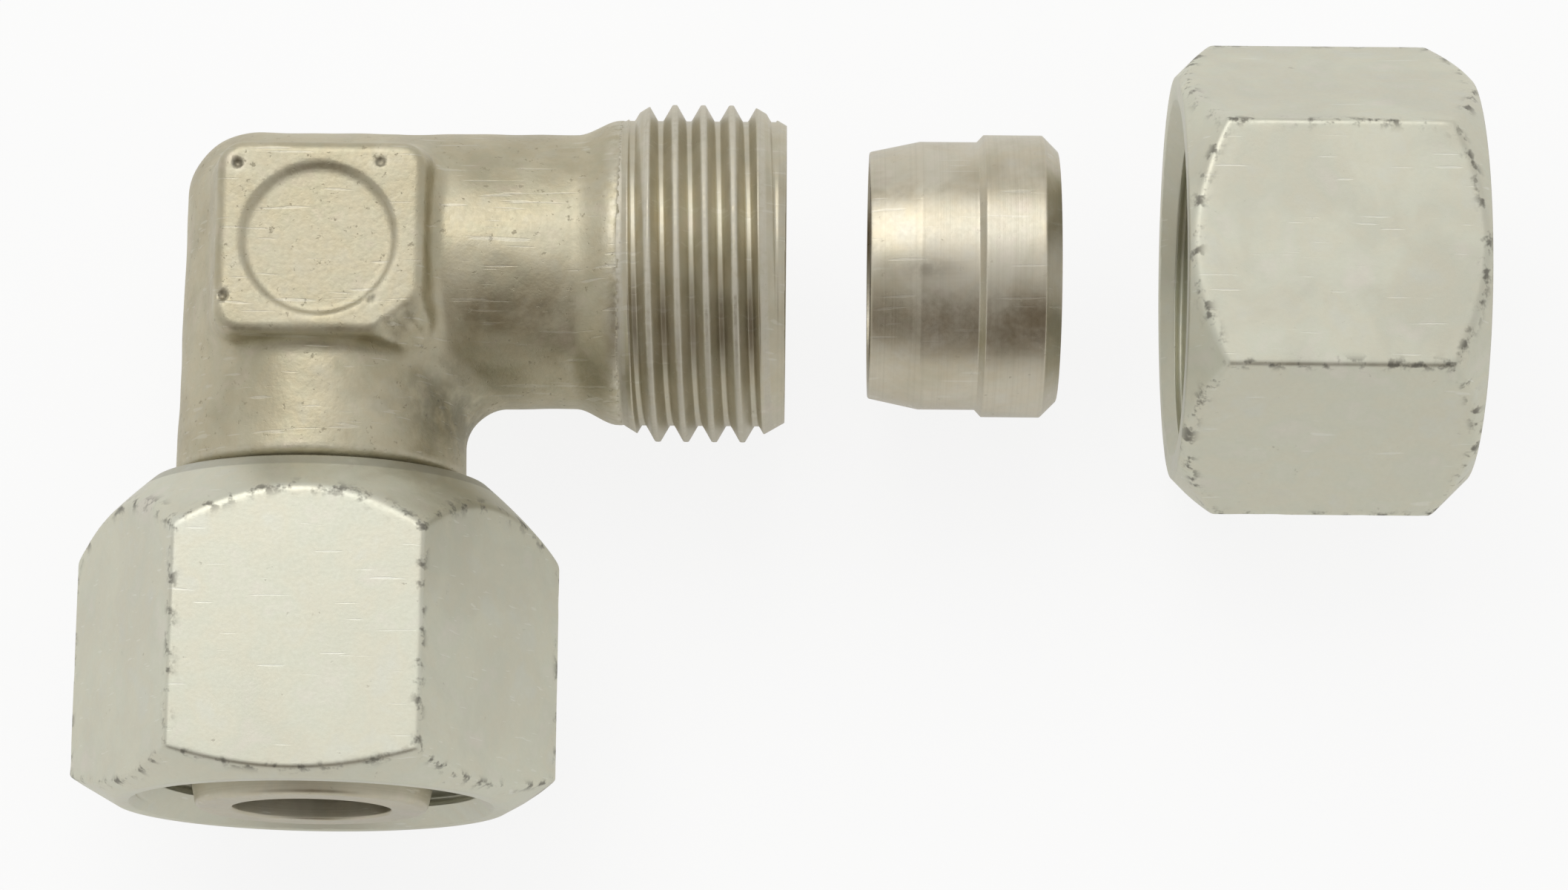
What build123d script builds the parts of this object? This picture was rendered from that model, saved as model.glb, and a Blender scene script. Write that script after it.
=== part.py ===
from build123d import *
import os
from math import cos, radians, sin, tan

# Adjustable elbow fitting of the light series for 12 mm tube, laid out apart as its nuts and ring come off.
# Millimetres. The origin is where the two axes of the elbow cross. +X runs out along the threaded arm,
# -Y runs out along the sealing cone, and +Z points up from the surface that the nuts lie on.
# Lengths along the arm and the leg are measured from the origin. Threads are plain at their major diameter.

# Tube and 24 degree cone
tube_diameter = 12.0
tube_wall = 1.0
cone_half_angle = 12.0

# Clearances
tube_clearance = 0.05
thread_clearance = 0.10
mouth_clearance = 0.03
seat_gap = 0.04
lip_clearance = 0.25
nut_float = 0.35
ring_room = 0.25

# Cutting ring: walls are measured out from its bore
ring_nose_wall = 0.5
ring_body_wall = 1.07
ring_collar_wall = 1.45
ring_rear_wall = 0.6
ring_body_end = 5.7
ring_step_length = 0.35
ring_collar_length = 3.1
ring_edge_length = 0.35
ring_second_edge = 1.7
ring_groove_depth = 0.25
ring_from_port = 4.4

# Threaded port on the arm
port_wall = 1.85
thread_depth = 0.9
thread_length = 8.6
thread_runout = 1.0
port_end_step = 1.1
port_chamfer_angle = 30.0
tube_stop_depth = 7.0
drill_point_angle = 59.0

# Forged body
flare_rise = 0.8
flare_length = 1.9
flare_land = 0.4
leg_oversize = 0.2
leg_draft_angle = 0.7
leg_edge_chamfer = 0.4
corner_rounding = 3.5
crotch_fillet = 2.2
arm_past_crotch = 4.2
leg_past_crotch = 2.05

# Spanner pads on both faces of the forging
pad_rise = 1.0
pad_side_inset = 2.15
pad_end_inset = 2.25
pad_along_arm = 0.4
pad_down_leg = 0.3
pad_draft_angle = 13.0
pad_foot_drop = 4.3
pad_corner_radius = 1.3
pad_edge_rounding = 0.5
pad_recess_margin = 1.0
pad_recess_depth = 0.3
pad_recess_wall_angle = 45.0

# Sealing cone on the leg
cone_proud = 0.2
cone_tip_wall = 1.9
cone_tip_chamfer = 0.35
collar_over_mouth = 0.25
collar_step = 1.05
seal_section = 1.5
seal_side_room = 0.5
seal_floor_wall = 1.1
seal_from_tip = 2.7
seal_sides = 12

# Hexagon of both nuts
nut_wall = 1.9
hex_corner_rounding = 0.35
hex_envelope_room = 0.2
countersink = 0.4

# Swivel nut
swivel_thread_depth = 8.9
swivel_lip_length = 5.4
swivel_face_step = 0.8
swivel_chamfer_angle = 30.0
dome_rim_step = 2.1
dome_height = 4.3
dome_shoulder_height = 2.0

# Union nut
union_thread_depth = 8.4
union_ring_bore_length = 1.05
union_tube_clearance = 0.25
union_tube_bore_length = 3.2
union_face_step = 0.3
union_bore_chamfer = 0.4
union_nut_turn = 4.0
union_nut_from_ring = 6.25

# How far cutters and joined sections run past the faces they meet
overrun = 1.0

# Radii worked outwards from the tube
cone_slope = tan(radians(cone_half_angle))
tube_radius = tube_diameter / 2
arm_bore_radius = tube_radius - tube_wall
tube_bore_radius = tube_radius + tube_clearance
ring_front_radius = tube_bore_radius + ring_nose_wall
ring_body_radius = tube_bore_radius + ring_body_wall
ring_collar_radius = tube_bore_radius + ring_collar_wall
ring_rear_radius = tube_bore_radius + ring_rear_wall
port_mouth_radius = ring_body_radius + mouth_clearance
thread_radius = port_mouth_radius + port_wall
thread_root_radius = thread_radius - thread_depth
port_end_radius = thread_radius - port_end_step
arm_radius = thread_root_radius - flare_rise
leg_radius = arm_radius + leg_oversize
collar_radius = port_mouth_radius + collar_over_mouth
neck_radius = collar_radius - collar_step
lip_radius = neck_radius + lip_clearance
leg_bore_radius = tube_radius - cone_tip_wall
seal_floor_radius = leg_bore_radius + seal_floor_wall
nut_bore_radius = thread_radius + thread_clearance
flat_radius = nut_bore_radius + nut_wall
beyond_hex = flat_radius / cos(radians(30)) + hex_envelope_room
union_hole_radius = tube_radius + union_tube_clearance
union_ring_bore_radius = ring_collar_radius + ring_room

# Places along the arm
flare_start = leg_radius + crotch_fillet + arm_past_crotch
thread_start = flare_start + flare_length
arm_length = thread_start + thread_length
ring_front = arm_length + ring_from_port
ring_rear_chamfer = ring_collar_radius - ring_rear_radius
ring_length = ring_body_end + ring_step_length + ring_collar_length + ring_rear_chamfer
union_front = ring_front + ring_length + union_nut_from_ring
union_seat_start = union_thread_depth + (nut_bore_radius - union_ring_bore_radius) + union_ring_bore_length
union_seat_end = union_seat_start + (union_ring_bore_radius - union_hole_radius)
union_nut_length = union_seat_end + union_tube_bore_length

# Places down the leg
leg_shoulder = arm_radius + crotch_fillet + leg_past_crotch
swivel_top = leg_shoulder + nut_float
swivel_nut_length = swivel_lip_length + (nut_bore_radius - lip_radius) + swivel_thread_depth
swivel_face = swivel_top + swivel_nut_length
cone_tip = swivel_face + cone_proud
seal_middle = cone_tip - seal_from_tip


def turned(corners, axis):
    """Solid turned about an axis from the corners of its section."""
    return revolve(make_face(Polyline(*corners, close=True)), axis)


def turned_on_arm(section):
    """Solid about the arm's axis, from (distance along the arm, radius) pairs."""
    return turned(section, Axis.X)


def turned_on_leg(section):
    """Solid about the leg's axis, from (distance down the leg, radius) pairs."""
    return turned([(radius, -distance) for distance, radius in section], Axis.Y)


def hexagon(length, start, turn=0.0):
    """Hexagonal bar along the arm's axis, with softened corners and flats facing up and down."""
    section = RegularPolygon(flat_radius, 6, major_radius=False, rotation=turn)
    section = fillet(section.vertices(), hex_corner_rounding)
    return extrude(Plane.YZ.offset(start) * section, length)


def edges_near(solid, point, reach):
    """Edges of a solid whose middle lies within reach of a point."""
    return solid.edges().filter_by(lambda edge: (edge.center() - Vector(*point)).length < reach)


def pad_height():
    return leg_radius + pad_rise


def pad(side):
    """Raised square spanner pad with drafted walls on one face of the forging: side 1 is up, -1 is down."""
    width = 2 * (leg_radius - pad_side_inset)
    depth = 2 * (arm_radius - pad_end_inset)
    spread = pad_foot_drop * tan(radians(pad_draft_angle))
    foot_height = pad_height() - pad_foot_drop
    foot = Plane((pad_along_arm, -pad_down_leg, side * foot_height), z_dir=(0, 0, side))
    top = Plane((pad_along_arm, -pad_down_leg, side * pad_height()), z_dir=(0, 0, side))
    foot_outline = RectangleRounded(width + 2 * spread, depth + 2 * spread, pad_corner_radius + spread)
    top_outline = RectangleRounded(width, depth, pad_corner_radius)
    return loft([(foot * foot_outline).face(), (top * top_outline).face()])


def pad_recess():
    """Shallow round recess with a sloping wall, sunk in the upper pad."""
    rim_radius = arm_radius - pad_end_inset - pad_recess_margin
    slope = tan(radians(pad_recess_wall_angle))
    floor_radius = rim_radius - pad_recess_depth / slope
    cutter = Cone(
        floor_radius,
        rim_radius + overrun / slope,
        pad_recess_depth + overrun,
        align=(Align.CENTER, Align.CENTER, Align.MIN),
    )
    return Pos(pad_along_arm, -pad_down_leg, pad_height() - pad_recess_depth) * cutter


def forged_arm():
    """Round arm from the crossing of the axes to the root of the thread, flared out to it."""
    root_end = thread_start + thread_runout
    return turned_on_arm(
        [
            (0, 0),
            (root_end, 0),
            (root_end, thread_root_radius),
            (thread_start - flare_land, thread_root_radius),
            (flare_start, arm_radius),
            (0, arm_radius),
        ]
    )


def forged_leg():
    """Round drafted leg from the crossing of the axes to the shoulder above the swivel nut."""
    end_radius = leg_radius + leg_shoulder * tan(radians(leg_draft_angle))
    return turned_on_leg(
        [
            (0, 0),
            (leg_shoulder, 0),
            (leg_shoulder, end_radius - leg_edge_chamfer),
            (leg_shoulder - leg_edge_chamfer, end_radius),
            (0, leg_radius),
        ]
    )


def mitred_corner():
    """Outer corner of the elbow, common to the arm and the leg as each runs on past the crossing."""
    reach = -(leg_radius + overrun)
    arm_end = turned_on_arm([(reach, 0), (0, 0), (0, arm_radius), (reach, arm_radius)])
    leg_end = turned_on_leg([(reach, 0), (0, 0), (0, leg_radius), (reach, leg_radius)])
    return arm_end & leg_end


def forged_blank():
    """Arm and leg meeting in the mitred corner, with the two pads and rounded blends."""
    blank = forged_arm() + forged_leg() + mitred_corner() + pad(1) + pad(-1)
    blank = fillet(edges_near(blank, (-leg_radius, arm_radius, 0), leg_oversize + overrun), corner_rounding)
    blank = fillet(edges_near(blank, (leg_radius, -arm_radius, 0), arm_radius / 2), crotch_fillet)
    for side in (1, -1):
        rim = blank.faces().filter_by(Axis.Z).sort_by(Axis.Z)[-1 if side > 0 else 0]
        blank = fillet(rim.edges(), pad_edge_rounding)
    return blank


def port_thread():
    """Threaded end of the arm at its major diameter, with its run-out and lead chamfer."""
    lead = port_end_step / tan(radians(port_chamfer_angle))
    return turned_on_arm(
        [
            (thread_start - overrun, 0),
            (arm_length, 0),
            (arm_length, port_end_radius),
            (arm_length - lead, thread_radius),
            (thread_start + thread_runout, thread_radius),
            (thread_start, thread_root_radius),
            (thread_start - overrun, thread_root_radius),
        ]
    )


def cone_radius_at(distance):
    """Radius of the sealing cone at a distance down the leg."""
    return tube_radius + (cone_tip - distance) * cone_slope


def shoulder_contact(radius):
    """Distance down the leg at which the swivel nut's inner shoulder has a given radius."""
    return swivel_face - swivel_thread_depth - (nut_bore_radius - radius)


def sealing_cone():
    """Neck, collar and 24 degree cone with its seal groove, as turned on the end of the leg."""
    cone_start = cone_tip - (collar_radius - tube_radius) / cone_slope
    collar_back = shoulder_contact(collar_radius) + seat_gap / sin(radians(45))
    groove_start = seal_middle - (seal_section + seal_side_room) / 2
    groove_end = seal_middle + (seal_section + seal_side_room) / 2
    tip_edge = cone_tip - cone_tip_chamfer
    return turned_on_leg(
        [
            (leg_shoulder - overrun, 0),
            (cone_tip, 0),
            (cone_tip, tube_radius - cone_tip_chamfer),
            (tip_edge, cone_radius_at(tip_edge)),
            (groove_end, cone_radius_at(groove_end)),
            (groove_end, seal_floor_radius),
            (groove_start, seal_floor_radius),
            (groove_start, cone_radius_at(groove_start)),
            (cone_start, collar_radius),
            (collar_back, collar_radius),
            (collar_back - collar_step, neck_radius),
            (leg_shoulder - overrun, neck_radius),
        ]
    )


def arm_bore():
    """Flow bore of the arm, its tube stop, tube seat and 24 degree mouth."""
    drill_point = arm_bore_radius / tan(radians(drill_point_angle))
    seat_start = arm_length - (port_mouth_radius - tube_bore_radius) / cone_slope
    stop = arm_length - tube_stop_depth
    return turned_on_arm(
        [
            (-drill_point, 0),
            (arm_length + overrun, 0),
            (arm_length + overrun, port_mouth_radius + overrun * cone_slope),
            (seat_start, tube_bore_radius),
            (stop, tube_bore_radius),
            (stop, arm_bore_radius),
            (0, arm_bore_radius),
        ]
    )


def leg_bore():
    """Flow bore of the leg, drilled from the cone's tip to the crossing of the axes."""
    drill_point = leg_bore_radius / tan(radians(drill_point_angle))
    past_tip = cone_tip + overrun
    section = [(-drill_point, 0), (past_tip, 0), (past_tip, leg_bore_radius), (0, leg_bore_radius)]
    return turned_on_leg(section)


def elbow_body():
    body = forged_blank() + port_thread() + sealing_cone()
    return body - pad_recess() - arm_bore() - leg_bore()


def o_ring():
    """Soft seal lying in the groove of the sealing cone, its round section drawn with short sides."""
    section = RegularPolygon(seal_section / 2, seal_sides)
    return revolve(Pos(seal_floor_radius + seal_section / 2, -seal_middle) * section, Axis.Y)


def swivel_nut():
    """Captive hexagon nut, its top end rolled in over the neck behind the collar."""
    face_radius = flat_radius - swivel_face_step
    chamfer = (beyond_hex - face_radius) * tan(radians(swivel_chamfer_angle))
    envelope = turned_on_leg(
        [
            (swivel_top, 0),
            (swivel_top, flat_radius - dome_rim_step),
            (swivel_top + dome_shoulder_height, flat_radius),
            (swivel_top + dome_height, beyond_hex),
            (swivel_face - chamfer, beyond_hex),
            (swivel_face, face_radius),
            (swivel_face, 0),
        ]
    )
    inside = turned_on_leg(
        [
            (swivel_top - overrun, 0),
            (swivel_face + overrun, 0),
            (swivel_face + overrun, nut_bore_radius + countersink + overrun),
            (swivel_face - countersink, nut_bore_radius),
            (swivel_face - swivel_thread_depth, nut_bore_radius),
            (shoulder_contact(lip_radius), lip_radius),
            (swivel_top - overrun, lip_radius),
        ]
    )
    bar = Rot(0, 0, -90) * hexagon(swivel_nut_length, swivel_top)
    return (bar & envelope) - inside


def cutting_ring():
    """Turned ring with a 24 degree nose, two inner cutting edges and a chamfered rear collar."""
    nose_length = (ring_body_wall - ring_nose_wall) / cone_slope
    groove_radius = tube_bore_radius + ring_groove_depth
    section = [
        (0, tube_bore_radius),
        (0, ring_front_radius),
        (nose_length, ring_body_radius),
        (ring_body_end, ring_body_radius),
        (ring_body_end + ring_step_length, ring_collar_radius),
        (ring_length - ring_rear_chamfer, ring_collar_radius),
        (ring_length, ring_rear_radius),
        (ring_length, tube_bore_radius),
        (ring_second_edge, tube_bore_radius),
        (ring_second_edge - ring_groove_depth, groove_radius),
        (ring_edge_length + ring_groove_depth, groove_radius),
        (ring_edge_length, tube_bore_radius),
    ]
    return turned_on_arm([(ring_front + along, radius) for along, radius in section])


def union_nut():
    """Loose hexagon nut with the thread in one end and a 45 degree seat and tube hole in the other."""
    back = union_front + union_nut_length
    face_radius = flat_radius - union_face_step
    chamfer = beyond_hex - face_radius
    envelope = turned_on_arm(
        [
            (union_front, 0),
            (union_front, face_radius),
            (union_front + chamfer, beyond_hex),
            (back - chamfer, beyond_hex),
            (back, face_radius),
            (back, 0),
        ]
    )
    thread_end = union_front + union_thread_depth
    ring_bore_start = thread_end + (nut_bore_radius - union_ring_bore_radius)
    inside = turned_on_arm(
        [
            (union_front - overrun, 0),
            (back + overrun, 0),
            (back + overrun, union_hole_radius + union_bore_chamfer + overrun),
            (back - union_bore_chamfer, union_hole_radius),
            (union_front + union_seat_end, union_hole_radius),
            (union_front + union_seat_start, union_ring_bore_radius),
            (ring_bore_start, union_ring_bore_radius),
            (thread_end, nut_bore_radius),
            (union_front + countersink, nut_bore_radius),
            (union_front - overrun, nut_bore_radius + countersink + overrun),
        ]
    )
    bar = hexagon(union_nut_length, union_front, union_nut_turn)
    return (bar & envelope) - inside


def ring_travel():
    """How far the ring slides in until its nose is a seat gap off the port's cone."""
    room = port_mouth_radius - ring_front_radius - seat_gap / cos(radians(cone_half_angle))
    return ring_front - (arm_length - room / cone_slope)


def union_nut_travel():
    """How far the union nut slides on to the ring until its seat is a seat gap off the rear chamfer."""
    seat_foot = union_seat_end + union_hole_radius
    ring_foot = ring_length + ring_rear_radius
    seated = ring_foot - seat_foot + seat_gap / sin(radians(45))
    return ring_length + union_nut_from_ring - seated


def main():
    os.makedirs("parts", exist_ok=True)
    nodes = {
        "elbow_body": elbow_body(),
        "o_ring": o_ring(),
        "swivel_nut": swivel_nut(),
        "cutting_ring": cutting_ring(),
        "union_nut": union_nut(),
    }
    for name, shape in nodes.items():
        export_step(shape, f"parts/{name}.step")
    print("travel of the cutting ring to its seat", round(ring_travel(), 3))
    print("travel of the union nut on to the ring", round(union_nut_travel(), 3))


main()
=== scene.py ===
import math

import bpy
import numpy as np
from mathutils import Euler, Matrix


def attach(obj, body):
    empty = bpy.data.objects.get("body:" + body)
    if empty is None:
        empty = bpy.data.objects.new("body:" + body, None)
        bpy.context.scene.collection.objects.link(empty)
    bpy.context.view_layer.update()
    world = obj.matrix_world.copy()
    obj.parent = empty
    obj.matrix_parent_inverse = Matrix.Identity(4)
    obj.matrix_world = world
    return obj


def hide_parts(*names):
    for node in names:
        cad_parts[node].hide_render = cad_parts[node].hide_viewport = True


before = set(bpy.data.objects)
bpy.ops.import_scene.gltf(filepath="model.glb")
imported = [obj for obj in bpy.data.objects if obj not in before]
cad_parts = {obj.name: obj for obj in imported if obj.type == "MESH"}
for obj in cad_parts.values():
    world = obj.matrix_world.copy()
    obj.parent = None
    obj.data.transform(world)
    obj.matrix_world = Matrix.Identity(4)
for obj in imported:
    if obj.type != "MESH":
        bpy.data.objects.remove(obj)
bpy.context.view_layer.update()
mm = 0.001
print("frame loaded")


# Node trees: a wire is an output socket that takes part in Python sums
class Wire:
    def __init__(self, graph, socket):
        self.graph = graph
        self.socket = socket

    def __add__(self, other):
        return self.graph.calc("ADD", self, other)

    def __radd__(self, other):
        return self.graph.calc("ADD", other, self)

    def __sub__(self, other):
        return self.graph.calc("SUBTRACT", self, other)

    def __rsub__(self, other):
        return self.graph.calc("SUBTRACT", other, self)

    def __mul__(self, other):
        return self.graph.calc("MULTIPLY", self, other)

    def __rmul__(self, other):
        return self.graph.calc("MULTIPLY", other, self)

    def __truediv__(self, other):
        return self.graph.calc("DIVIDE", self, other)

    def __rtruediv__(self, other):
        return self.graph.calc("DIVIDE", other, self)

    def clamped(self, low=0.0, high=1.0):
        return self.graph.calc("MINIMUM", self.graph.calc("MAXIMUM", self, low), high)

    def between(self, low, high):                      # 0 below low, 1 above high, smooth in between
        settings = {"interpolation_type": "SMOOTHSTEP"}
        values = {"Value": self, "From Min": low, "From Max": high}
        return self.graph.node("ShaderNodeMapRange", settings, values)["Result"]


class Graph:
    def __init__(self, tree):
        self.tree = tree

    def node(self, kind, settings=None, sockets=None):
        made = self.tree.nodes.new(kind)
        for name, value in (settings or {}).items():
            if name == "stops":
                self.setStops(made.color_ramp, value)
            else:
                setattr(made, name, value)
        for key, value in (sockets or {}).items():
            if isinstance(key, int):
                slot = made.inputs[key]
            else:
                slot = next(s for s in made.inputs if s.name == key and s.enabled)
            if isinstance(value, Wire):
                self.tree.links.new(value.socket, slot)
            else:
                slot.default_value = value
        outputs = {s.name: Wire(self, s) for s in made.outputs if s.enabled}
        outputs["node"] = made
        return outputs

    def setStops(self, ramp, stops):
        while len(ramp.elements) < len(stops):
            ramp.elements.new(0.5)
        for element, (place, colour) in zip(ramp.elements, stops):
            element.position = place
            element.color = (*colour, 1.0)

    def calc(self, operation, *values):
        return self.node("ShaderNodeMath", {"operation": operation}, dict(enumerate(values)))["Value"]

    def blend(self, factor, first, second, how="MIX"):
        settings = {"data_type": "RGBA", "blend_type": how}
        return self.node("ShaderNodeMix", settings, {0: factor, 6: first, 7: second})["Result"]


def linear(code):                                      # a colour written as on screen, in the renderer's own numbers
    parts = [int(code[i:i + 2], 16) / 255 for i in (0, 2, 4)]
    return tuple(c / 12.92 if c <= 0.04045 else ((c + 0.055) / 1.055) ** 2.4 for c in parts)


def paint(code):
    return (*linear(code), 1.0)


def newMaterial(name):
    material = bpy.data.materials.new(name)
    material.use_nodes = True
    material.node_tree.nodes.clear()
    return material, Graph(material.node_tree)


# Plated steel: a mottled film of zinc with speckle, fine scratches and faint rainbow tints
plating = {
    "cloudFrom": 0.35, "cloudTo": 0.65, "cloudTwist": 0.4, "cloudRough": 0.12, "cloudHeight": 0.3,
    "filmScale": 2.3, "filmTurn": (0.3, 0.7, 0.2), "filmShift": (0.4, 0.1, 0.7), "grainRough": 0.18,
    "speckWidth": 0.09, "speckRough": 0.15, "speckDepth": 0.5, "scratchWidth": 0.05,
    "lineDrift": 0.4, "lineShift": 0.3, "roughLow": 0.12, "roughHigh": 0.9,
}


def platedSteel(name, look):
    material, g = newMaterial(name)
    place = g.node("ShaderNodeTexCoord")["Object"]

    def noise(scale, detail=2.0, rough=0.5, at=place, twist=0.0):
        values = {"Vector": at, "Scale": scale, "Detail": detail, "Roughness": rough, "Distortion": twist}
        return g.node("ShaderNodeTexNoise", {}, values)["Fac"]

    def stretched(turn, scales, shift):
        values = {"Vector": place, "Rotation": turn, "Scale": scales, "Location": shift}
        return g.node("ShaderNodeMapping", {}, values)["Vector"]

    clouds = noise(look["cloudScale"], 4.0, 0.6, twist=plating["cloudTwist"])
    clouds = clouds.between(plating["cloudFrom"], plating["cloudTo"])
    filmPlace = stretched(plating["filmTurn"], (1, 1, 1), plating["filmShift"])
    film = noise(look["cloudScale"] * plating["filmScale"], 3.0, 0.55, filmPlace)
    grain = noise(look["grainScale"], 2.0, 0.6)
    speckle = noise(look["speckScale"], 3.0, 0.7)
    speckle = speckle.between(look["speckFrom"], look["speckFrom"] + plating["speckWidth"])
    scratches = noise(1.0, 1.0, 0.5, stretched(look["scratchTurn"], look["scratchScales"], (0, 0, 0)))
    scratches = scratches.between(look["scratchFrom"], look["scratchFrom"] + plating["scratchWidth"])

    colour = g.blend(clouds, paint(look["dark"]), paint(look["light"]))
    tint = g.node("ShaderNodeValToRGB", {"stops": look["tints"]}, {"Fac": film})["Color"]
    colour = g.blend(look["tintShare"], colour, tint, "SOFT_LIGHT")
    colour = g.blend(speckle * look["speckShare"], colour, paint(look["speck"]))
    colour = g.blend(scratches * look["scratchShare"], colour, paint(look["scratch"]))
    rough = look["rough"] + plating["cloudRough"] * (clouds - 0.5) + plating["grainRough"] * (grain - 0.5)
    rough = rough + plating["speckRough"] * speckle
    bump = grain * look["grainHeight"] + plating["cloudHeight"] * clouds
    bump = bump - speckle * plating["speckDepth"] - scratches * look["scratchDepth"]

    for mark in look["marks"]:                         # marks that the mesh carries as point attributes: wear, painted shade and a painted reflection
        amount = g.node("ShaderNodeAttribute", {"attribute_name": mark["name"]})["Fac"]
        patchy = noise(mark["scale"], 3.0, 0.65).between(mark["from"], mark["to"])
        amount = (amount * patchy).clamped()
        colour = g.blend(amount * mark["share"], colour, paint(mark["colour"]))
        rough = rough + amount * mark["rough"]
        bump = bump - amount * mark["depth"]

    if "turning" in look:                              # lathe marks run round the piece's axis
        turning = look["turning"]
        along = g.node("ShaderNodeSeparateXYZ", {}, {0: place})[turning["axis"]]
        spot = {"X": along * turning["fine"], "Y": film * plating["lineDrift"], "Z": plating["lineShift"]}
        lines = noise(1.0, 2.0, 0.7, g.node("ShaderNodeCombineXYZ", {}, spot)["Vector"])
        colour = g.blend((lines - 0.5).clamped() * turning["share"], colour, paint(turning["colour"]))
        bump = bump + lines * turning["height"]

    relief = {"Strength": look["bump"], "Distance": look["bumpDistance"] * mm, "Height": bump}
    values = {
        "Base Color": colour, "Metallic": look["metallic"],
        "Roughness": rough.clamped(plating["roughLow"], plating["roughHigh"]),
        "Normal": g.node("ShaderNodeBump", {}, relief)["Normal"],
    }
    shader = g.node("ShaderNodeBsdfPrincipled", {}, values)["BSDF"]
    g.node("ShaderNodeOutputMaterial", {}, {"Surface": shader})
    return material


rainbow = [
    (0.25, linear("b9a9a6")),
    (0.42, linear("8f9a84")),
    (0.55, linear("a39a78")),
    (0.7, linear("9aa39c")),
]

forgedLook = {
    "light": "cbc4b0", "dark": "b9b19b", "speck": "7d7462", "scratch": "dedbd0",
    "cloudScale": 260.0, "grainScale": 3800.0, "speckScale": 2100.0, "speckFrom": 0.62, "speckShare": 0.35,
    "scratchTurn": (0.0, 0.0, 0.9), "scratchScales": (250.0, 4200.0, 900.0), "scratchFrom": 0.66,
    "scratchShare": 0.25, "scratchDepth": 0.4,
    "tints": rainbow, "tintShare": 0.35,
    "metallic": 0.9, "rough": 0.47, "grainHeight": 0.9, "bump": 0.4, "bumpDistance": 0.04,
    "marks": [
        # painted shade: darker where the skin has little room outside it, in hollows, creases and pad feet
        {"name": "hollow", "scale": 900.0, "from": 0.2, "to": 0.55,
         "share": 0.75, "colour": "4a4436", "rough": 0.15, "depth": 0.1},
        {"name": "ridge", "scale": 1200.0, "from": 0.35, "to": 0.6,
         "share": 0.4, "colour": "dcd8ca", "rough": -0.05, "depth": 0.0},
        # painted shade: a dark patch in the crotch between arm and leg
        {"name": "smudge", "scale": 700.0, "from": 0.25, "to": 0.6,
         "share": 0.5, "colour": "3f4440", "rough": 0.1, "depth": 0.1},
    ],
}

nutLook = {
    **forgedLook,
    "light": "dcdbce", "dark": "d3d1c4", "speck": "a29c90", "scratch": "f0f0ea",
    "cloudScale": 190.0, "grainScale": 5200.0, "speckScale": 1500.0, "speckFrom": 0.68, "speckShare": 0.3,
    "scratchTurn": (0.0, 0.0, 0.5), "scratchScales": (300.0, 5200.0, 1100.0), "scratchFrom": 0.7,
    "tintShare": 0.4, "rough": 0.45, "grainHeight": 0.5, "bump": 0.25, "bumpDistance": 0.03,
    "marks": [
        {"name": "edge", "scale": 1100.0, "from": 0.5, "to": 0.64,
         "share": 0.75, "colour": "5b5750", "rough": 0.1, "depth": 0.5},
        # painted shade: darker over the bore and thread inside the nut
        {"name": "inside", "scale": 500.0, "from": 0.0, "to": 0.5,
         "share": 0.35, "colour": "77746a", "rough": 0.05, "depth": 0.0},
    ],
}

turnedLook = {
    **forgedLook,
    "light": "cdc7b7", "dark": "bfb8a6", "cloudScale": 240.0, "speckFrom": 0.66, "speckShare": 0.25,
    "rough": 0.4, "grainHeight": 0.4, "bump": 0.25, "bumpDistance": 0.025,
    "turning": {"axis": "X", "fine": 9000.0, "share": 0.5, "colour": "8f8876", "height": 0.7},
    "marks": [
        {"name": "crest", "scale": 2600.0, "from": 0.2, "to": 0.6,
         "share": 0.55, "colour": "dcd8cc", "rough": 0.25, "depth": -0.2},
        # a painted dark patch; the port and the cone carry no such attribute, so it adds nothing
        {"name": "smudge", "scale": 700.0, "from": 0.25, "to": 0.6,
         "share": 0.5, "colour": "3d4650", "rough": 0.1, "depth": 0.1},
    ],
}

coneLook = {**turnedLook, "turning": {**turnedLook["turning"], "axis": "Y"}}

ringLook = {
    **turnedLook,
    "light": "d2ccbe", "dark": "c3bba9", "rough": 0.36, "bump": 0.22,
    "turning": {"axis": "X", "fine": 7000.0, "share": 0.6, "colour": "958d7a", "height": 0.8},
    "marks": [
        # painted reflection: a dark brownish band on the ring's top, where the dim part of the room is mirrored
        {"name": "smudge", "scale": 900.0, "from": 0.2, "to": 0.55,
         "share": 0.6, "colour": "6e6558", "rough": 0.1, "depth": 0.1},
    ],
}

rubberLook = {
    "dark": "17171a", "light": "2b2b2c", "bloomScale": 900.0, "bloomFrom": 0.3, "bloomTo": 0.75,
    "rough": 0.42, "bloomRough": 0.25, "bump": 0.2, "bumpDistance": 0.03,
}


def sealRubber(look):
    material, g = newMaterial("sealRubber")
    place = g.node("ShaderNodeTexCoord")["Object"]
    values = {"Vector": place, "Scale": look["bloomScale"], "Detail": 3.0}
    bloom = g.node("ShaderNodeTexNoise", {}, values)["Fac"]
    patches = bloom.between(look["bloomFrom"], look["bloomTo"])
    relief = {"Strength": look["bump"], "Distance": look["bumpDistance"] * mm, "Height": bloom}
    values = {
        "Base Color": g.blend(patches, paint(look["dark"]), paint(look["light"])),
        "Roughness": look["rough"] + look["bloomRough"] * bloom,
        "Normal": g.node("ShaderNodeBump", {}, relief)["Normal"],
    }
    shader = g.node("ShaderNodeBsdfPrincipled", {}, values)["BSDF"]
    g.node("ShaderNodeOutputMaterial", {}, {"Surface": shader})
    return material


forgedZinc = platedSteel("forgedZinc", forgedLook)
turnedZinc = platedSteel("turnedZinc", turnedLook)
coneZinc = platedSteel("coneZinc", coneLook)
nutZinc = platedSteel("nutZinc", nutLook)
ringZinc = platedSteel("ringZinc", ringLook)
rubber = sealRubber(rubberLook)
print("materials made")


# Distance fields in millimetres
def roundMax(a, b, radius):
    return np.minimum(np.maximum(a, b), -radius) + np.hypot(np.maximum(a + radius, 0), np.maximum(b + radius, 0))


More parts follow.
